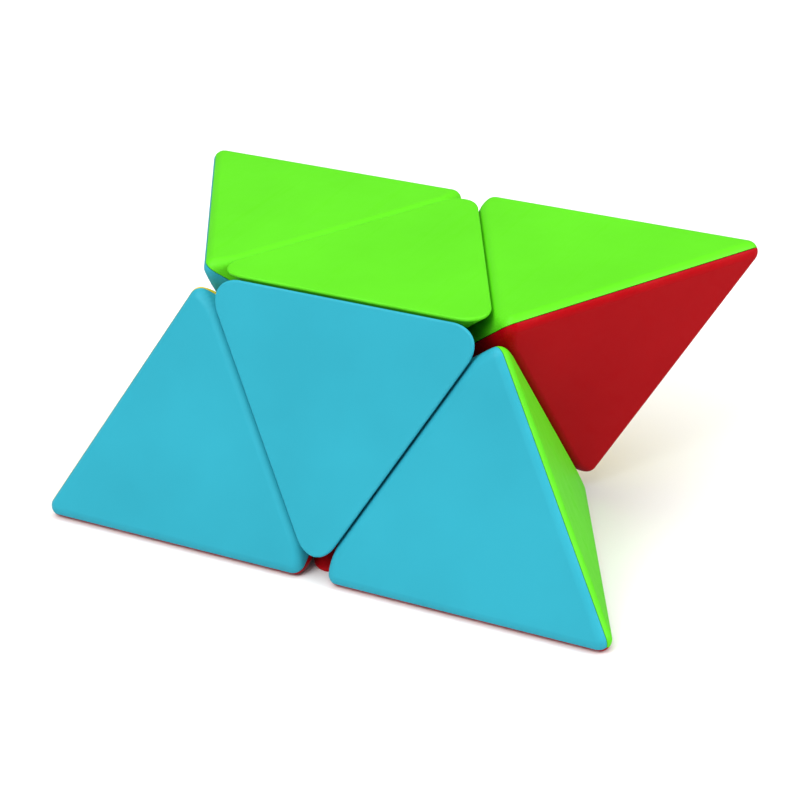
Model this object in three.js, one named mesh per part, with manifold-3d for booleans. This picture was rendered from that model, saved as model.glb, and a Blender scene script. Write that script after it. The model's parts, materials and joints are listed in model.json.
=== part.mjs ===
// A pyramid twisty puzzle: a tetrahedron cut through its centre by three planes at right angles into
// eight pieces, four three-colour corners and four one-colour face centres. Each piece is a hollow cap or
// set of shells on a foot. The feet hook under twelve edge blocks, which hook under six hubs screwed
// through springs to a ball core. The upper half is turned a quarter from the solved pyramid, and the
// puzzle lies on its red face.
//
// Most shapes are made once in the puzzle's own cube frame, whose x, y and z axes are the three turning
// axes, in the octant where all three are positive. Each copy is then turned to its place. All sizes are
// in millimetres.
import * as THREE from "three";
import { ConvexGeometry } from "three/addons/geometries/ConvexGeometry.js";
import { mergeVertices } from "three/addons/utils/BufferGeometryUtils.js";
import Module from "manifold-3d";

const wasm = await Module();
wasm.setup();

// ---- Driving dimensions ----
const EDGE = 75; // edge of the solved pyramid before its edges are rounded
const AXIS_REACH = EDGE / (2 * Math.SQRT2); // centre to the middle of an edge, along a turning axis
const FACE_REACH = AXIS_REACH / Math.sqrt(3); // centre to a face
const GAP = 0.15; // every moving piece stands back this far from the surface it slides along
const FIT = 0.3; // space between two fixed parts of one piece

// Shells
const WALL = 1.5; // thickness of every coloured wall
const AXIS_ROUND = 3.4; // radius on the edges that lie along a turning axis
const CORNER_ROUND = 1.3; // radius on all the other edges of a corner
const CAP_ROUND = 0.25; // radius on the rim of a centre cap

// Mechanism: two spherical layers inside the shells, cut by planes at two distances from the centre
const MECHANISM_R = 12.1; // outside of the upper layer
const LAYER_R = 9.9; // between the upper and the lower layer
const CORE_R = 6.0; // between the lower layer and the core
const UPPER_CUT = 4.3; // distance of the cut planes in the upper layer
const LOWER_CUT = 3.1; // the same in the lower layer, less, so each piece there reaches under its neighbour
const FLANGE_THICK = 1.8;
const FIN_THICK = 1.2;
const POST_R = 2.4;
const POST_REACH = 31;

// Screws and springs
const SHANK_R = 1.0;
const SHANK_START = 2.7; // along the turning axis from the centre
const HEAD_R = 1.85;
const HEAD_START = 10.4;
const HEAD_END = 11.5;
const BORE_R = SHANK_R + FIT;
const COUNTERBORE_R = 2.2;
const COUNTERBORE_FLOOR = 7.4;
const WIRE = 0.42;
const COIL_R = 1.6;
const COIL_TURNS = 4;
const PEG_R = 1; // peg that locks the red centre's foot to the core
const PEG_START = 4.6;

// Fineness of the faceted shapes
const HOLLOW_SAG = 0.15; // how far a hollow ball's facets stand inside it, towards what it turns about
const BALL_SAG = 0.4; // the same for a ball's own outside, which touches nothing sooner for being flatter
const ROUND_STEP = THREE.MathUtils.degToRad(42); // most that one facet of a rounded edge turns
const AXIS_FACETS = 4; // facets on an edge along a turning axis
const ROD_SIDES = 12;
const FAR = 60; // beyond every part

// ---- Colours ----
const plastic = (color, roughness) => new THREE.MeshStandardMaterial({ color, roughness, metalness: 0 });
const materials = {
  blue: plastic(0x3cbcd6, 0.42),
  green: plastic(0x6cfc2c, 0.42),
  red: plastic(0xa80414, 0.42),
  yellow: plastic(0xf4e21c, 0.42),
  mechanism: plastic(0x1c1c1e, 0.5),
  steel: new THREE.MeshStandardMaterial({ color: 0xb8babd, roughness: 0.3, metalness: 1 }),
};

// ---- Solids ----
const vec = (x, y, z) => new THREE.Vector3(x, y, z);

function solidOf(geometry) {
  geometry.deleteAttribute("normal");
  geometry.deleteAttribute("uv");
  const merged = mergeVertices(geometry, 1e-4);
  return new wasm.Manifold(
    new wasm.Mesh({
      numProp: 3,
      vertProperties: merged.attributes.position.array,
      triVerts: new Uint32Array(merged.index.array),
    }),
  );
}

function geometryOf(solid) {
  const mesh = solid.getMesh();
  const geometry = new THREE.BufferGeometry();
  geometry.setAttribute("position", new THREE.BufferAttribute(mesh.vertProperties, 3));
  geometry.setIndex(new THREE.BufferAttribute(mesh.triVerts, 1));
  geometry.computeVertexNormals();
  return geometry;
}

function ball(radius, sag) {
  const split = Math.ceil(1.05 * Math.sqrt(radius / (6 * sag)));
  return solidOf(new THREE.IcosahedronGeometry(radius, split - 1));
}

const hollowBall = (radius) => ball(radius, HOLLOW_SAG);
const layer = (inner, outer) => ball(outer, BALL_SAG).subtract(hollowBall(inner));

function box(low, high) {
  const size = high.clone().sub(low);
  const middle = low.clone().add(high).multiplyScalar(0.5);
  return solidOf(new THREE.BoxGeometry(size.x, size.y, size.z).translate(middle.x, middle.y, middle.z));
}

// Everything at least this far out along all three axes.
const octant = (from) => box(vec(from, from, from), vec(FAR, FAR, FAR));

function rod(direction, radius, from, to) {
  const geometry = new THREE.CylinderGeometry(radius, radius, to - from, ROD_SIDES);
  geometry.translate(0, (from + to) / 2, 0);
  const turn = new THREE.Quaternion().setFromUnitVectors(vec(0, 1, 0), direction.clone().normalize());
  return solidOf(geometry.applyQuaternion(turn));
}

// ---- Convex bodies given by the planes that bound them, each { normal, reach } ----
const plane = (normal, reach) => ({ normal: normal.clone().normalize(), reach });
const shrunk = (planes, by) => planes.map(({ normal, reach }) => ({ normal, reach: reach - by }));

// The corners of a convex body, each with the normals of the planes that meet there.
function cornersOf(planes) {
  const TOUCH = 1e-6;
  const corners = [];
  for (let i = 0; i < planes.length; i++) {
    for (let j = i + 1; j < planes.length; j++) {
      for (let k = j + 1; k < planes.length; k++) {
        const three = [planes[i], planes[j], planes[k]];
        const rows = new THREE.Matrix3().set(...three.flatMap(({ normal }) => normal.toArray()));
        if (Math.abs(rows.determinant()) < TOUCH) continue;
        const point = vec(...three.map(({ reach }) => reach)).applyMatrix3(rows.invert());
        const inside = planes.every(({ normal, reach }) => normal.dot(point) <= reach + TOUCH);
        if (!inside || corners.some((corner) => corner.point.distanceTo(point) < TOUCH)) continue;
        const meeting = planes.filter(({ normal, reach }) => Math.abs(normal.dot(point) - reach) < TOUCH);
        corners.push({ point, normals: meeting.map(({ normal }) => normal) });
      }
    }
  }
  return corners;
}

const polyhedron = (planes) => solidOf(new ConvexGeometry(cornersOf(planes).map(({ point }) => point)));

function arc(from, to, share) {
  const angle = from.angleTo(to);
  return from
    .clone()
    .multiplyScalar(Math.sin((1 - share) * angle))
    .addScaledVector(to, Math.sin(share * angle))
    .divideScalar(Math.sin(angle));
}

// Directions that cover the patch of a ball between the given normals, evenly along its sides and in rings
// inside it.
function patch(normals) {
  const middle = normals.reduce((sum, normal) => sum.add(normal), vec(0, 0, 0)).normalize();
  const across = vec(0, 0, 0).crossVectors(middle, normals[0]).normalize();
  const along = vec(0, 0, 0).crossVectors(across, middle);
  const round = (normal) => Math.atan2(normal.dot(across), normal.dot(along));
  const ring = [...normals].sort((a, b) => round(a) - round(b));
  const directions = [middle];
  ring.forEach((normal, i) => {
    const next = ring[(i + 1) % ring.length];
    const steps = Math.ceil(normal.angleTo(next) / ROUND_STEP - 1e-6);
    for (let s = 0; s < steps; s++) {
      const side = arc(normal, next, s / steps);
      const rings = Math.ceil(middle.angleTo(side) / ROUND_STEP - 1e-6);
      for (let r = 1; r <= rings; r++) directions.push(arc(middle, side, r / rings));
    }
  });
  return directions;
}

// The convex body with every edge and corner rounded to a radius.
function rounded(planes, radius) {
  const points = cornersOf(shrunk(planes, radius)).flatMap(({ point, normals }) =>
    patch(normals).map((direction) => point.clone().addScaledVector(direction, radius)),
  );
  return solidOf(new ConvexGeometry(points));
}

// ---- The outside of the pieces, in the octant where x, y and z are positive ----
const AXES = [vec(1, 0, 0), vec(0, 1, 0), vec(0, 0, 1)];
const walls = (from) => AXES.map((axis) => plane(axis.clone().negate(), -from));
const cornerFaces = AXES.map((axis) => plane(vec(1, 1, 1).addScaledVector(axis, -2), FACE_REACH));
const centreFace = [plane(vec(1, 1, 1), FACE_REACH)];

// Planes that round the three edges along the turning axes, between one wall and the next.
const axisRounds = AXES.flatMap((from, i) => {
  const to = AXES[(i + 1) % AXES.length];
  const inset = GAP + AXIS_ROUND;
  return Array.from({ length: AXIS_FACETS - 1 }, (_, k) => {
    const normal = arc(from.clone().negate(), to.clone().negate(), (k + 1) / AXIS_FACETS);
    return plane(normal, AXIS_ROUND - inset * Math.abs(normal.x + normal.y + normal.z));
  });
});

// The space inside an outer piece's walls, at a depth below its outside.
const room = (faces, depth) =>
  polyhedron([...walls(GAP + depth), ...shrunk(axisRounds, depth), ...shrunk(faces, depth)]);

function hollow(faces, radius) {
  const outside = rounded([...walls(GAP), ...axisRounds, ...faces], radius);
  return outside.subtract(room(faces, WALL)).subtract(hollowBall(MECHANISM_R + GAP));
}

// Half-space cut away on the side of a plane that its normal points to.
function beyond(normal, reach) {
  const slab = new THREE.BoxGeometry(4 * FAR, 4 * FAR, 2 * FAR).translate(0, 0, reach + FAR);
  const turn = new THREE.Quaternion().setFromUnitVectors(vec(0, 0, 1), normal.clone().normalize());
  return solidOf(slab.applyQuaternion(turn));
}

// One colour of a corner: the face turned away from x and the wall it folds into, up to the middle of the
// edges that it shares with the other two colours.
function cornerShell() {
  const toSecondColour = beyond(vec(1, -1, 0), -FIT / 2);
  const toThirdColour = beyond(vec(1, 0, -1), -FIT / 2);
  return hollow(cornerFaces, CORNER_ROUND).subtract(toSecondColour).subtract(toThirdColour);
}

const centreCap = () => hollow(centreFace, CAP_ROUND);

// ---- Feet: a hook in the lower layer, a stalk through the upper and a flange that closes the shells ----
function foot(faces) {
  const flangeR = MECHANISM_R + GAP + FLANGE_THICK;
  const stalk = octant(UPPER_CUT + GAP).intersect(layer(CORE_R + GAP, flangeR));
  const hook = octant(LOWER_CUT + GAP).intersect(layer(CORE_R + GAP, LAYER_R - GAP));
  const flange = room(faces, WALL + FIT).intersect(layer(MECHANISM_R + GAP, flangeR));
  return stalk.add(hook).add(flange);
}

const centreFoot = () => foot(centreFace).subtract(beyond(vec(1, 1, 1), FACE_REACH - WALL - FIT));

// A corner's foot also carries a post and three fins that back the seams between its colours.
function cornerFoot() {
  const post = rod(vec(1, 1, 1), POST_R, MECHANISM_R, POST_REACH);
  const fins = AXES.map((axis, i) => {
    const side = AXES[(i + 1) % AXES.length].clone().sub(axis);
    return beyond(side, -FIN_THICK / 2).subtract(beyond(side, FIN_THICK / 2));
  });
  const reach = box(vec(0, 0, 0), vec(FAR, FAR, FAR)).subtract(beyond(vec(1, 1, 1), POST_REACH));
  const frame = fins.reduce((sum, fin) => sum.add(fin.intersect(reach)), post);
  const inside = room(cornerFaces, WALL + FIT).subtract(hollowBall(MECHANISM_R + GAP));
  return foot(cornerFaces).add(frame.intersect(inside));
}

// The red centre stays with the core, and a peg on its foot locks the two together.
const peg = () => rod(vec(1, 1, 1), PEG_R, PEG_START, LAYER_R - 1);

// The three edge blocks round the peg are notched for it, on both sides alike.
function notched(block) {
  const notch = (side) => rod(vec(1, 1, side), PEG_R + FIT, 0, LAYER_R);
  return block.subtract(notch(1)).subtract(notch(-1));
}

// ---- Inner pieces ----
function edgeBlock() {
  const bar = (cut, width) => box(vec(cut + GAP, cut + GAP, GAP - width), vec(FAR, FAR, width - GAP));
  const roof = bar(UPPER_CUT, UPPER_CUT).intersect(layer(LAYER_R + GAP, MECHANISM_R - GAP));
  const neck = bar(UPPER_CUT, LOWER_CUT).intersect(layer(CORE_R + GAP, MECHANISM_R - GAP));
  const tongue = bar(LOWER_CUT, LOWER_CUT).intersect(layer(CORE_R + GAP, LAYER_R - GAP));
  return roof.add(neck).add(tongue);
}

function hub() {
  const square = (width) => box(vec(0, GAP - width, GAP - width), vec(FAR, width - GAP, width - GAP));
  const roof = square(UPPER_CUT).intersect(layer(LAYER_R + GAP, MECHANISM_R - GAP));
  const stem = square(LOWER_CUT).intersect(layer(CORE_R + GAP, MECHANISM_R - GAP));
  return roof
    .add(stem)
    .subtract(rod(AXES[0], BORE_R, 0, FAR))
    .subtract(rod(AXES[0], COUNTERBORE_R, COUNTERBORE_FLOOR, FAR));
}

function core() {
  const axes = AXES.flatMap((axis) => [axis, axis.clone().negate()]);
  const drilled = axes.reduce(
    (rest, axis) => rest.subtract(rod(axis, BORE_R, SHANK_START - FIT, FAR)),
    ball(CORE_R - GAP, HOLLOW_SAG),
  );
  return drilled.subtract(rod(vec(1, 1, 1), PEG_R + FIT, PEG_START - FIT, FAR));
}

function screw() {
  const outline = [
    [0, SHANK_START],
    [SHANK_R * 0.6, SHANK_START],
    [SHANK_R, SHANK_START + 0.6],
    [SHANK_R, HEAD_START],
    [HEAD_R, HEAD_START],
    [HEAD_R, HEAD_END - 0.45],
    [HEAD_R * 0.75, HEAD_END],
    [0, HEAD_END],
  ].map(([radius, height]) => new THREE.Vector2(radius, height));
  const turned = new THREE.LatheGeometry(outline, ROD_SIDES).rotateZ(-Math.PI / 2);
  const slot = (y, z) => box(vec(HEAD_END - 0.6, -y, -z), vec(FAR, y, z));
  return solidOf(turned).subtract(slot(1.1, 0.2)).subtract(slot(0.2, 1.1));
}

class Coil extends THREE.Curve {
  getPoint(share, target = vec(0, 0, 0)) {
    const low = COUNTERBORE_FLOOR + FIT + WIRE / 2;
    const high = HEAD_START - FIT - WIRE / 2;
    const angle = 2 * Math.PI * COIL_TURNS * share;
    return target.set(low + (high - low) * share, COIL_R * Math.cos(angle), COIL_R * Math.sin(angle));
  }
}

function spring() {
  const section = new THREE.Shape(
    Array.from({ length: 4 }, (_, i) => {
      const angle = (i * Math.PI) / 2;
      return new THREE.Vector2((WIRE / 2) * Math.cos(angle), (WIRE / 2) * Math.sin(angle));
    }),
  );
  return solidOf(new THREE.ExtrudeGeometry(section, { steps: 8 * COIL_TURNS, extrudePath: new Coil() }));
}

// ---- Placing ----
// The puzzle stands on its red face, with the two long ridges along X and the blue face to the front.
const puzzle = new THREE.Group();
const toRight = vec(1, -1, 0).normalize();
const toBack = vec(1, 1, 2).normalize();
const toTop = vec(-1, -1, 1).normalize();
puzzle.quaternion.setFromRotationMatrix(new THREE.Matrix4().makeBasis(toRight, toBack, toTop).transpose());
puzzle.position.set(0, 0, FACE_REACH);

function place(name, geometry, material, basis) {
  const mesh = new THREE.Mesh(geometry, material);
  mesh.name = name;
  if (basis) mesh.quaternion.setFromRotationMatrix(basis);
  puzzle.add(mesh);
}

// Turns the positive octant's corner so that its three faces look along three given normals.
function cornerBasis([a, b, c]) {
  const half = (one, other) => one.clone().add(other).multiplyScalar(0.5);
  return new THREE.Matrix4().makeBasis(half(b, c), half(c, a), half(a, b));
}

// Turns the positive octant to the one that a vector of signs names.
function octantBasis(signs) {
  const [x, y, z] = AXES.map((axis) => axis.clone().multiply(signs));
  const even = signs.x * signs.y * signs.z > 0;
  return even ? new THREE.Matrix4().makeBasis(x, y, z) : new THREE.Matrix4().makeBasis(y, x, z);
}

// Turns the first axis to one direction and the second to another.
const axisBasis = (first, second) =>
  new THREE.Matrix4().makeBasis(first, second, vec(0, 0, 0).crossVectors(first, second));

// Each corner's colours in order round its tip, with the way each face looks.
const CORNERS = {
  lower_right_corner: { green: vec(1, -1, 1), blue: vec(-1, -1, -1), red: vec(1, 1, -1) },
  lower_left_corner: { blue: vec(-1, -1, -1), yellow: vec(-1, 1, 1), red: vec(1, 1, -1) },
  upper_right_corner: { green: vec(-1, -1, 1), red: vec(1, -1, -1), yellow: vec(1, 1, 1) },
  upper_left_corner: { green: vec(-1, -1, 1), yellow: vec(1, 1, 1), blue: vec(-1, 1, -1) },
};
const CENTRES = { red: vec(1, 1, -1), blue: vec(-1, -1, -1), green: vec(-1, -1, 1), yellow: vec(1, 1, 1) };
const HUBS = {
  upper: vec(0, 0, 1),
  left: vec(-1, 0, 0),
  right: vec(0, -1, 0),
  lower: vec(0, 0, -1),
  rear_right: vec(1, 0, 0),
  rear_left: vec(0, 1, 0),
};

const shellShape = geometryOf(cornerShell());
const cornerFootShape = geometryOf(cornerFoot());
for (const [name, colours] of Object.entries(CORNERS)) {
  const normals = Object.values(colours);
  place(`${name}_foot`, cornerFootShape, materials.mechanism, cornerBasis(normals));
  Object.keys(colours).forEach((colour, i) => {
    const order = [0, 1, 2].map((k) => normals[(i + k) % 3]);
    place(`${name}_${colour}_shell`, shellShape, materials[colour], cornerBasis(order));
  });
}

const capShape = geometryOf(centreCap());
const plainFoot = centreFoot();
const centreFootShape = geometryOf(plainFoot);
const lockedFootShape = geometryOf(plainFoot.add(peg()));
for (const [colour, signs] of Object.entries(CENTRES)) {
  const footShape = colour === "red" ? lockedFootShape : centreFootShape;
  place(`${colour}_centre_cap`, capShape, materials[colour], octantBasis(signs));
  place(`${colour}_centre_foot`, footShape, materials.mechanism, octantBasis(signs));
}

const hubShape = geometryOf(hub());
const screwShape = geometryOf(screw());
const springShape = geometryOf(spring());
for (const [name, axis] of Object.entries(HUBS)) {
  const basis = axisBasis(axis, vec(axis.y, axis.z, axis.x));
  place(`hub_${name}`, hubShape, materials.mechanism, basis);
  place(`screw_${name}`, screwShape, materials.steel, basis);
  place(`spring_${name}`, springShape, materials.steel, basis);
}

const blockShape = geometryOf(edgeBlock());
const notchedShape = geometryOf(notched(edgeBlock()));
const hubs = Object.entries(HUBS);
hubs.forEach(([first, one], i) =>
  hubs.slice(i + 1).forEach(([second, other]) => {
    if (one.dot(other) !== 0) return;
    const shape = one.dot(CENTRES.red) + other.dot(CENTRES.red) === 2 ? notchedShape : blockShape;
    place(`edge_block_${first}_${second}`, shape, materials.mechanism, axisBasis(one, other));
  }),
);

place("core", geometryOf(core()), materials.mechanism, octantBasis(CENTRES.red));

export default puzzle;
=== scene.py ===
"""The pyramid twisty puzzle's visual model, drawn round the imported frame: finely rounded shells and
caps in satin plastic over the frame's own mechanism, on a plain floor in soft studio light."""
import itertools
import json
import math

import bmesh
import bpy
import numpy as np
from mathutils import Matrix, Vector


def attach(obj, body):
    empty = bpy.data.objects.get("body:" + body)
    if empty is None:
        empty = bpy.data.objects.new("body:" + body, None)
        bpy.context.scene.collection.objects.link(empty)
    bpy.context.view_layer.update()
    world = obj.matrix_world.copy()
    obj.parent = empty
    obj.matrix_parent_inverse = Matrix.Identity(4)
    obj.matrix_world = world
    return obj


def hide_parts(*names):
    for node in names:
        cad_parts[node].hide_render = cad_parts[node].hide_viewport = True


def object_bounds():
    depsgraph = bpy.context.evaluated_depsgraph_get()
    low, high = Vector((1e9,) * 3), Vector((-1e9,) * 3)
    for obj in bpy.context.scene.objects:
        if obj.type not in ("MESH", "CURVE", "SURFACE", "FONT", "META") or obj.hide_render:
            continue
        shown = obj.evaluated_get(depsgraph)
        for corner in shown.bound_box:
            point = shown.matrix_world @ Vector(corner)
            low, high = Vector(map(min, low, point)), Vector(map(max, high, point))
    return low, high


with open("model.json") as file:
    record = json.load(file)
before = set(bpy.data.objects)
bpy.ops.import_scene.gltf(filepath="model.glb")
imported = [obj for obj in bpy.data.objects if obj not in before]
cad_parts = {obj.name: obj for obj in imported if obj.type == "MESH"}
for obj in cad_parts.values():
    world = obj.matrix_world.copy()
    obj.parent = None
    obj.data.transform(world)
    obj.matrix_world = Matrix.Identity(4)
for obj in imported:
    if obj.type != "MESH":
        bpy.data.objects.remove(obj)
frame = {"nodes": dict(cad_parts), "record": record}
CAD_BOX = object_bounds()
MM = 0.001

# ---- Dimensions, in metres ----
# The top and bottom faces are level and as far from the centre as every other face.
HEIGHT = CAD_BOX[1][2] - CAD_BOX[0][2]
FACE_REACH = HEIGHT / 2  # centre to a face
CENTRE = Vector((0, 0, CAD_BOX[0][2] + FACE_REACH))
GAP = 0.15 * MM  # from a shell to the plane that it slides along
WALL = 1.5 * MM
HOLLOW_R = 12.25 * MM  # ball-shaped hollow inside the shells, round the mechanism
AXIS_ROUND = 3.4 * MM  # radius on the edges that lie along a turning axis
RADIUS = {"corner": 1.3 * MM, "centre": 0.25 * MM}  # on all the other edges
SEAM = 0.08 * MM  # joint line between two colours of a corner
SEAM_NORMALS = (Vector((1, -1, 0)).normalized(), Vector((1, 0, -1)).normalized())

BEVEL = 0.08 * MM  # on the edges of the inner parts
WEAR = 0.3  # share of an edge's radius over which it goes from unworn to fully worn

# ---- Fineness of the meshes ----
ROUND_STEP = math.radians(9)  # largest step round an edge
AXIS_FACETS = 12  # facets round an edge that lies along a turning axis
BALL_SUBDIVISIONS = 5
FLAT_SIDES = 15  # the large flats have at least this many sides
FAR = 0.2  # reach of a half space
TOUCH = 1e-9  # reaches closer than this are the same
PARALLEL = 1e-6  # planes whose normals span less than this have no common corner
WELD = 1e-7  # vertices closer than this are joined
SMOOTH_ANGLE = math.radians(38)  # steeper edges are shaded sharp
BEVEL_ANGLE = math.radians(42)  # steeper edges of the inner parts are bevelled


# ---- Convex bodies given by the planes that bound them, each (normal, reach) ----
def unit(vector):
    vector = np.asarray(vector, float)
    return vector / np.linalg.norm(vector)


def shrunk(planes, by):
    """The same planes, all moved inwards."""
    return [(normal, reach - by) for normal, reach in planes]


def corners_of(planes):
    """The corners of a convex body, each with the numbers of the planes that meet there."""
    corners = []
    for three in itertools.combinations(planes, 3):
        rows = np.array([normal for normal, _ in three])
        if abs(np.linalg.det(rows)) < PARALLEL:
            continue
        point = np.linalg.solve(rows, [reach for _, reach in three])
        if any(normal @ point > reach + TOUCH for normal, reach in planes):
            continue
        if any(np.linalg.norm(point - other) < TOUCH for other, _ in corners):
            continue
        distances = [abs(normal @ point - reach) for normal, reach in planes]
        meeting = [i for i, distance in enumerate(distances) if distance < TOUCH]
        corners.append((point, meeting))
    return corners


def arc(start, end, share):
    """The direction that lies a share of the way from one direction to another."""
    angle = math.acos(max(-1.0, min(1.0, start @ end)))
    return (math.sin((1 - share) * angle) * start + math.sin(share * angle) * end) / math.sin(angle)


def steps_between(a, b):
    """How many steps of at most ROUND_STEP lead from one direction to another."""
    return math.ceil(math.acos(max(-1.0, min(1.0, a @ b))) / ROUND_STEP - 1e-6)


def arc_steps(start, end):
    """Directions from one normal to another, both included."""
    steps = steps_between(start, end)
    return [start] + [arc(start, end, step / steps) for step in range(1, steps)] + [end]


def around(directions, middle):
    """The order of some directions round a middle one, as a list of their places."""
    across = unit(np.cross(middle, directions[0]))
    along = np.cross(across, middle)
    angles = [math.atan2(direction @ across, direction @ along) for direction in directions]
    return sorted(range(len(directions)), key=lambda i: angles[i])


AXES = list(np.eye(3))


def walls(start):
    """The three planes at a distance from the cuts through the centre."""
    return [(-axis, -start) for axis in AXES]


def axis_rounds():
    """Planes that round the three edges along the turning axes."""
    planes = []
    for i in range(3):
        for k in range(1, AXIS_FACETS):
            normal = arc(-AXES[i], -AXES[(i + 1) % 3], k / AXIS_FACETS)
            planes.append((normal, AXIS_ROUND - (GAP + AXIS_ROUND) * abs(normal.sum())))
    return planes


FACES = {
    "corner": [(unit(1 - 2 * axis), FACE_REACH) for axis in AXES],
    "centre": [(unit((1, 1, 1)), FACE_REACH)],
}
ROUNDS = axis_rounds()


# ---- Meshes ----
def object_of(mesh_source, name):
    """An object made from a bmesh, which is used up."""
    mesh = bpy.data.meshes.new(name)
    mesh_source.to_mesh(mesh)
    mesh_source.free()
    made = bpy.data.objects.new(name, mesh)
    bpy.context.scene.collection.objects.link(made)
    return made


def convex_body(planes, radius, name):
    """The body that the planes bound, with every edge and corner rounded to a radius."""
    bm = bmesh.new()
    normals = [normal for normal, _ in planes]
    sides = {i: [] for i in range(len(planes))}
    strips = {}

    def face(points):
        bm.faces.new([bm.verts.new(point) for point in points])

    for point, meeting in corners_of(shrunk(planes, radius)):
        for i in meeting:
            sides[i].append(point + radius * normals[i])
        if radius == 0:
            continue
        middle = unit(sum(normals[i] for i in meeting))
        ring = [meeting[k] for k in around([normals[i] for i in meeting], middle)]
        border = []
        for i, after in zip(ring, ring[1:] + ring[:1]):
            low, high = sorted((i, after))
            directions = arc_steps(normals[low], normals[high])
            strips.setdefault((low, high), []).append([point + radius * d for d in directions])
            border += (directions if low == i else directions[::-1])[:-1]
        rings = max(steps_between(middle, side) for side in border)
        shares = [(r + 1) / rings for r in range(rings)]
        rows = [[point + radius * arc(middle, side, share) for share in shares] for side in border]
        for row, after in zip(rows, rows[1:] + rows[:1]):
            face([point + radius * middle, row[0], after[0]])
            for r in range(rings - 1):
                face([row[r], row[r + 1], after[r + 1], after[r]])
    for one, other in strips.values():
        for k in range(len(one) - 1):
            face([one[k], one[k + 1], other[k + 1], other[k]])
    for i, points in sides.items():
        if len(points) > 2:
            middle = sum(points) / len(points)
            order = around([unit(point - middle) for point in points], normals[i])
            face([points[k] for k in order])
    bmesh.ops.remove_doubles(bm, verts=bm.verts, dist=WELD)
    bmesh.ops.recalc_face_normals(bm, faces=bm.faces)
    return object_of(bm, name)


def ball(radius):
    bm = bmesh.new()
    bmesh.ops.create_icosphere(bm, subdivisions=BALL_SUBDIVISIONS, radius=radius)
    return object_of(bm, "ball")


def half_space(normal, reach):
    """A block that fills the side of a plane to which its normal points."""
    bm = bmesh.new()
    bmesh.ops.create_cube(bm, size=2 * FAR)
    turn = Vector((0, 0, 1)).rotation_difference(Vector(normal)).to_matrix().to_4x4()
    bm.transform(turn @ Matrix.Translation((0, 0, reach + FAR)))
    return object_of(bm, "half_space")


def subtract(body, cutter):
    """Cuts one object out of another and deletes the cutter."""
    modifier = body.modifiers.new("cut", "BOOLEAN")
    modifier.operation = "DIFFERENCE"
    modifier.solver = "EXACT"
    modifier.object = cutter
    bpy.context.view_layer.update()
    evaluated = body.evaluated_get(bpy.context.evaluated_depsgraph_get())
    cut = bpy.data.meshes.new_from_object(evaluated)
    body.modifiers.clear()
    old, body.data = body.data, cut
    bpy.data.meshes.remove(old)
    spent = cutter.data
    bpy.data.objects.remove(cutter)
    bpy.data.meshes.remove(spent)


def shape(kind):
    """A hollow corner or cap as one body, in the octant where x, y and z are positive."""
    body = convex_body(walls(GAP) + ROUNDS + FACES[kind], RADIUS[kind], kind)
    room = walls(GAP + WALL) + shrunk(ROUNDS + FACES[kind], WALL)
    subtract(body, convex_body(room, 0, "room"))
    subtract(body, ball(HOLLOW_R))
    return body


def cleaned(body):
    """The body's mesh, welded, with the small faces of five sides and more cut into triangles."""
    bm = bmesh.new()
    bm.from_mesh(body.data)
    bmesh.ops.remove_doubles(bm, verts=bm.verts, dist=WELD)
    bmesh.ops.dissolve_degenerate(bm, dist=WELD, edges=bm.edges)
    small = [face for face in bm.faces if 4 < len(face.verts) < FLAT_SIDES]
    bmesh.ops.triangulate(bm, faces=small, ngon_method="BEAUTY")
    bm.to_mesh(body.data)
    bm.free()
    mesh = body.data.copy()
    bpy.data.objects.remove(body)
    return mesh


def edge_wear(mesh, kind, to_shape):
    """Stores how far each vertex lies inside the nearest face: 0 on the flats and 1 on the edges."""
    layer = mesh.attributes.new("edge_wear", "FLOAT", "POINT")
    planes = walls(GAP) + FACES[kind]
    for vertex in mesh.vertices:
        point = np.array(to_shape @ vertex.co)
        depth = min(reach - normal @ point for normal, reach in planes)
        layer.data[vertex.index].value = max(0.0, min(1.0, depth / (WEAR * RADIUS[kind])))


# ---- Materials ----
def material(name):
    """A new material, with its nodes, its links and its shader."""
    made = bpy.data.materials.new(name)
    made.use_nodes = True
    return made, made.node_tree.nodes, made.node_tree.links, made.node_tree.nodes["Principled BSDF"]


def noise(nodes, links, scale, detail=2.0, stretch=(1, 1, 1), seed=0.0):
    """Noise in the object's own space, at a place in it that the seed sets."""
    coordinates = nodes.new("ShaderNodeTexCoord")
    mapping = nodes.new("ShaderNodeMapping")
    mapping.inputs["Location"].default_value = (seed, 0.7 * seed, 1.3 * seed)
    mapping.inputs["Scale"].default_value = stretch
    texture = nodes.new("ShaderNodeTexNoise")
    texture.inputs["Scale"].default_value = scale
    texture.inputs["Detail"].default_value = detail
    links.new(coordinates.outputs["Object"], mapping.inputs["Vector"])
    links.new(mapping.outputs["Vector"], texture.inputs["Vector"])
    return texture.outputs["Fac"]


def ranged(nodes, links, value, source, target):
    """A value moved from one range to another."""
    node = nodes.new("ShaderNodeMapRange")
    node.inputs["From Min"].default_value, node.inputs["From Max"].default_value = source
    node.inputs["To Min"].default_value, node.inputs["To Max"].default_value = target
    links.new(value, node.inputs["Value"])
    return node.outputs["Result"]


def mixed(nodes, links, share, low, high):
    """A colour between two colours, each a constant or another node's output."""
    node = nodes.new("ShaderNodeMix")
    node.data_type = "RGBA"
    links.new(share, node.inputs["Factor"])
    for socket, colour in (("A", low), ("B", high)):
        target = next(i for i in node.inputs if i.name == socket and i.type == "RGBA")
        if hasattr(colour, "links"):
            links.new(colour, target)
        else:
            target.default_value = (*colour, 1)
    return next(o for o in node.outputs if o.type == "RGBA")


def maths(nodes, links, operation, one, other):
    """A sum or product of two values, each a constant or another node's output."""
    node = nodes.new("ShaderNodeMath")
    node.operation = operation
    for socket, value in zip(node.inputs, (one, other)):
        if hasattr(value, "links"):
            links.new(value, socket)
        else:
            socket.default_value = value
    return node.outputs["Value"]


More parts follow.
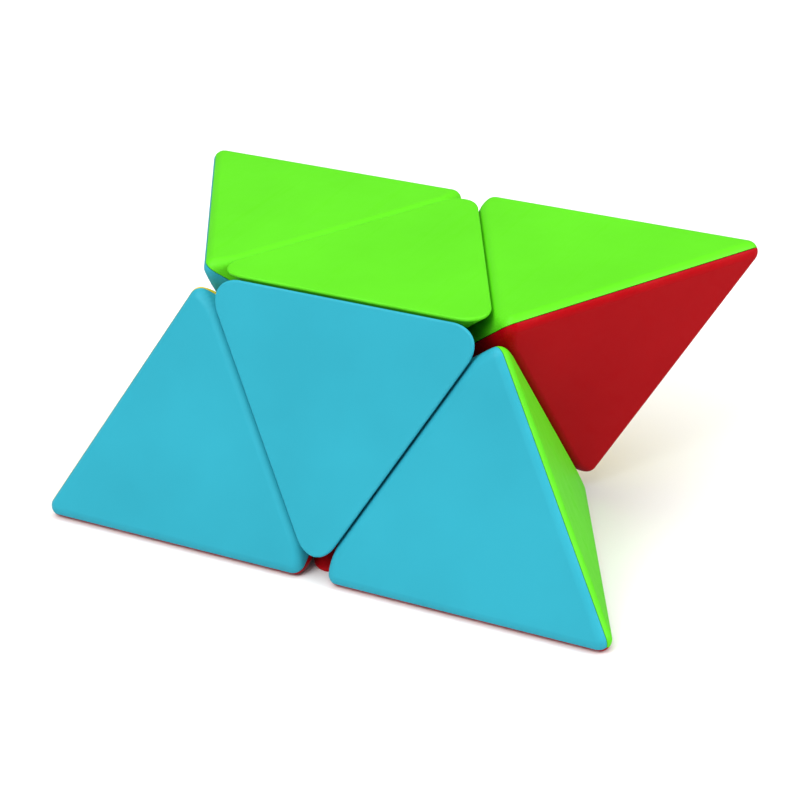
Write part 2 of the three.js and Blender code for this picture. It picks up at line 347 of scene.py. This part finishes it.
def bump(nodes, links, height, depth, strength, before=None):
    """A surface normal roughened by a height, on top of another normal if there is one."""
    node = nodes.new("ShaderNodeBump")
    node.inputs["Distance"].default_value = depth
    node.inputs["Strength"].default_value = strength
    links.new(height, node.inputs["Height"])
    if before:
        links.new(before, node.inputs["Normal"])
    return node.outputs["Normal"]


def satin_plastic(name, colour, shine=0.12, roughness=0.46):
    """Moulded plastic with a fine matt texture, faint flow clouds, rub marks and polished edges."""
    made, nodes, links, shader = material(name)
    clouds = noise(nodes, links, scale=55, detail=3)
    deep = [channel * 0.95 for channel in colour]
    pale = [min(1.0, channel * 1.03 + 0.001) for channel in colour]
    base = mixed(nodes, links, ranged(nodes, links, clouds, (0.35, 0.65), (0, 1)), deep, pale)
    attribute = nodes.new("ShaderNodeAttribute")
    attribute.attribute_name = "edge_wear"
    handled = noise(nodes, links, scale=260, detail=4, seed=3)
    patches = ranged(nodes, links, handled, (0.42, 0.62), (0, 1))
    worn = maths(nodes, links, "MULTIPLY", attribute.outputs["Fac"], patches)
    rubbed = [min(1.0, channel * 1.06 + 0.008) for channel in colour]
    share = maths(nodes, links, "MULTIPLY", worn, 0.5)
    links.new(mixed(nodes, links, share, base, rubbed), shader.inputs["Base Color"])
    marks = noise(nodes, links, scale=900, detail=5, stretch=(1, 0.06, 0.3), seed=7)
    scuffs = ranged(nodes, links, marks, (0.56, 0.7), (0, 0.07))
    grain = noise(nodes, links, scale=420, detail=4, seed=5)
    grain = ranged(nodes, links, grain, (0.3, 0.7), (-0.03, 0.03))
    level = maths(nodes, links, "ADD", scuffs, grain)
    polished = maths(nodes, links, "MULTIPLY", attribute.outputs["Fac"], -0.06)
    level = maths(nodes, links, "ADD", level, polished)
    links.new(maths(nodes, links, "ADD", level, roughness), shader.inputs["Roughness"])
    waves = noise(nodes, links, scale=160, detail=2, seed=9)
    peel = bump(nodes, links, waves, depth=0.03 * MM, strength=0.25)
    texture = noise(nodes, links, scale=5200, detail=2, seed=11)
    fine = bump(nodes, links, texture, depth=0.006 * MM, strength=0.35, before=peel)
    links.new(fine, shader.inputs["Normal"])
    shader.inputs["Specular IOR Level"].default_value = shine
    return made


def black_nylon(name):
    """The mechanism's black moulded nylon, cloudy and finely grained."""
    made, nodes, links, shader = material(name)
    clouds = noise(nodes, links, scale=180, detail=4)
    clouds = ranged(nodes, links, clouds, (0.35, 0.65), (0, 1))
    black = mixed(nodes, links, clouds, (0.006, 0.006, 0.007), (0.014, 0.014, 0.015))
    links.new(black, shader.inputs["Base Color"])
    rough = noise(nodes, links, scale=600, detail=4, seed=2)
    rough = ranged(nodes, links, rough, (0.3, 0.7), (0.42, 0.6))
    links.new(rough, shader.inputs["Roughness"])
    grain = noise(nodes, links, scale=2600, detail=3, seed=4)
    fine = bump(nodes, links, grain, depth=0.01 * MM, strength=0.4)
    links.new(fine, shader.inputs["Normal"])
    return made


def zinc_steel(name):
    """Zinc-plated steel with uneven brightness and a fine grain."""
    made, nodes, links, shader = material(name)
    shader.inputs["Metallic"].default_value = 1.0
    clouds = noise(nodes, links, scale=900, detail=4)
    clouds = ranged(nodes, links, clouds, (0.35, 0.65), (0, 1))
    zinc = mixed(nodes, links, clouds, (0.42, 0.43, 0.45), (0.62, 0.62, 0.6))
    links.new(zinc, shader.inputs["Base Color"])
    rough = noise(nodes, links, scale=1800, detail=4, seed=2)
    rough = ranged(nodes, links, rough, (0.3, 0.7), (0.25, 0.42))
    links.new(rough, shader.inputs["Roughness"])
    grain = noise(nodes, links, scale=4000, detail=3, seed=4)
    fine = bump(nodes, links, grain, depth=0.01 * MM, strength=0.3)
    links.new(fine, shader.inputs["Normal"])
    return made


PLASTIC = {
    "blue": satin_plastic("blue_plastic", (0.024, 0.330, 0.432)),
    "green": satin_plastic("green_plastic", (0.098, 0.590, 0.009)),
    "red": satin_plastic("red_plastic", (0.375, 0.000, 0.003), shine=0.05),
    "yellow": satin_plastic("yellow_plastic", (0.740, 0.560, 0.010)),
}
NYLON = black_nylon("black_nylon")
STEEL = zinc_steel("zinc_steel")

# ---- The puzzle's frame: its turning axes along x, y and z, and how that frame lies in the room ----
CUBE_TO_ROOM = Matrix.Translation(CENTRE) @ Matrix(
    [unit(row) for row in ((1, -1, 0), (1, 1, 2), (-1, -1, 1))]
).to_4x4()
CORNERS = {
    "lower_right_corner": {"green": (1, -1, 1), "blue": (-1, -1, -1), "red": (1, 1, -1)},
    "lower_left_corner": {"blue": (-1, -1, -1), "yellow": (-1, 1, 1), "red": (1, 1, -1)},
    "upper_right_corner": {"green": (-1, -1, 1), "red": (1, -1, -1), "yellow": (1, 1, 1)},
    "upper_left_corner": {"green": (-1, -1, 1), "yellow": (1, 1, 1), "blue": (-1, 1, -1)},
}
CENTRES = {"red": (1, 1, -1), "blue": (-1, -1, -1), "green": (-1, -1, 1), "yellow": (1, 1, 1)}
BODIES = frame["record"]["behaviour"]["bodies"]
BODY_OF = {node: body for body, nodes in BODIES.items() for node in nodes}


def columns(vectors):
    """The matrix that has the given vectors as its columns."""
    return Matrix([Vector(vector) for vector in vectors]).transposed()


def corner_turn(normals):
    """Turns the positive octant's corner so that its three faces look along the given normals."""
    a, b, c = (Vector(normal) for normal in normals)
    return columns(((b + c) / 2, (c + a) / 2, (a + b) / 2)).to_4x4()


def octant_turn(signs):
    """Turns the positive octant to the one that three signs name."""
    x, y, z = (Vector([sign * (i == axis) for i in range(3)]) for axis, sign in enumerate(signs))
    return columns((x, y, z) if math.prod(signs) > 0 else (y, x, z)).to_4x4()


def piece(node, mesh, kind, turn, colour):
    """Places one moulding in the room and ties it to the frame's node that it replaces."""
    mesh = mesh.copy()
    placing = CUBE_TO_ROOM @ turn
    mesh.transform(placing)
    edge_wear(mesh, kind, placing.inverted())
    mesh.shade_smooth()
    mesh.set_sharp_from_angle(angle=SMOOTH_ANGLE)
    mesh.materials.clear()
    mesh.materials.append(PLASTIC[colour])
    made = bpy.data.objects.new(f"{node}_moulding", mesh)
    bpy.context.scene.collection.objects.link(made)
    weighted = made.modifiers.new("even_shading", "WEIGHTED_NORMAL")
    weighted.keep_sharp = True
    weighted.weight = 100
    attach(made, BODY_OF[node])
    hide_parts(node)


corner = shape("corner")
for seam in SEAM_NORMALS:
    subtract(corner, half_space(seam, -SEAM / 2))
shell_mesh = cleaned(corner)
for name, colours in CORNERS.items():
    normals = list(colours.values())
    for i, colour in enumerate(colours):
        order = [normals[(i + k) % 3] for k in range(3)]
        piece(f"{name}_{colour}_shell", shell_mesh, "corner", corner_turn(order), colour)

cap_mesh = cleaned(shape("centre"))
for colour, signs in CENTRES.items():
    piece(f"{colour}_centre_cap", cap_mesh, "centre", octant_turn(signs), colour)

# The frame's own inner parts stay, with finished materials and softened edges.
for node, made in frame["nodes"].items():
    if node.endswith(("_shell", "_cap")):
        continue
    finish = STEEL if node.startswith(("screw", "spring")) else NYLON
    if not made.material_slots:
        made.data.materials.append(finish)
    for held in made.material_slots:
        held.material = finish
    if not node.startswith("spring"):
        softened = made.modifiers.new("soft_edges", "BEVEL")
        softened.width = BEVEL
        softened.segments = 2
        softened.angle_limit = BEVEL_ANGLE

# ---- Floor ----
FLOOR_REACH = 3
floor_mesh = bmesh.new()
bmesh.ops.create_grid(floor_mesh, x_segments=1, y_segments=1, size=FLOOR_REACH)
floor = object_of(floor_mesh, "floor")
paper, paper_nodes, paper_links, paper_shader = material("pale_floor")
tone = noise(paper_nodes, paper_links, scale=30, detail=3)
tone = ranged(paper_nodes, paper_links, tone, (0.3, 0.7), (0, 1))
white = mixed(paper_nodes, paper_links, tone, (0.86, 0.86, 0.86), (0.88, 0.88, 0.88))
paper_links.new(white, paper_shader.inputs["Base Color"])
paper_shader.inputs["Roughness"].default_value = 0.85
paper_shader.inputs["Specular IOR Level"].default_value = 0.1
floor.data.materials.append(paper)
floor.visible_glossy = False  # the plastic's reflections don't show the floor

# ---- Light ----
FILL = 0.3  # strength of the even light from all round
world = bpy.data.worlds.new("studio")
bpy.context.scene.world = world
world.use_nodes = True
world.node_tree.nodes["Background"].inputs["Color"].default_value = (1, 1, 1, 1)
world.node_tree.nodes["Background"].inputs["Strength"].default_value = FILL


def direction(azimuth, elevation):
    """The direction from the puzzle at two angles, with azimuth 0 in front and growing to the right."""
    level = math.cos(elevation)
    return Vector((math.sin(azimuth) * level, -math.cos(azimuth) * level, math.sin(elevation)))


def softbox(name, azimuth, elevation, distance, size, power):
    """A square soft light aimed at the puzzle's centre, its angles in degrees."""
    away = direction(math.radians(azimuth), math.radians(elevation))
    data = bpy.data.lights.new(name, "AREA")
    data.shape = "SQUARE"
    data.size = size
    data.energy = power
    lamp = bpy.data.objects.new(name, data)
    lamp.location = CENTRE + away * distance
    lamp.rotation_euler = away.to_track_quat("Z", "Y").to_euler()
    bpy.context.scene.collection.objects.link(lamp)


softbox("top_light", azimuth=-10, elevation=78, distance=1.0, size=1.3, power=11)
softbox("front_light", azimuth=-15, elevation=42, distance=1.1, size=0.6, power=6.2)
softbox("side_light", azimuth=105, elevation=30, distance=1.1, size=0.8, power=8.5)

# ---- Camera: placed round the puzzle's centre, then panned and tilted to the photograph's framing ----
AZIMUTH = math.radians(29.8)
ELEVATION = math.radians(27.2)
ROLL = math.radians(-2.8)
PAN = math.radians(-0.059)
TILT = math.radians(-0.416)
DISTANCE = 300 * MM
camera_data = bpy.data.cameras.new("camera")
camera_data.sensor_width = 36
camera_data.lens = 118.3
camera_data.clip_start = 0.01
camera = bpy.data.objects.new("camera", camera_data)
bpy.context.scene.collection.objects.link(camera)
towards = direction(AZIMUTH, ELEVATION)
look = towards.to_track_quat("Z", "Y").to_matrix().to_4x4()
look = look @ Matrix.Rotation(ROLL, 4, "Z")
look = look @ Matrix.Rotation(PAN, 4, "Y") @ Matrix.Rotation(TILT, 4, "X")
camera.matrix_world = Matrix.Translation(CENTRE + towards * DISTANCE) @ look
bpy.context.scene.camera = camera
bpy.context.scene.view_settings.view_transform = "Standard"
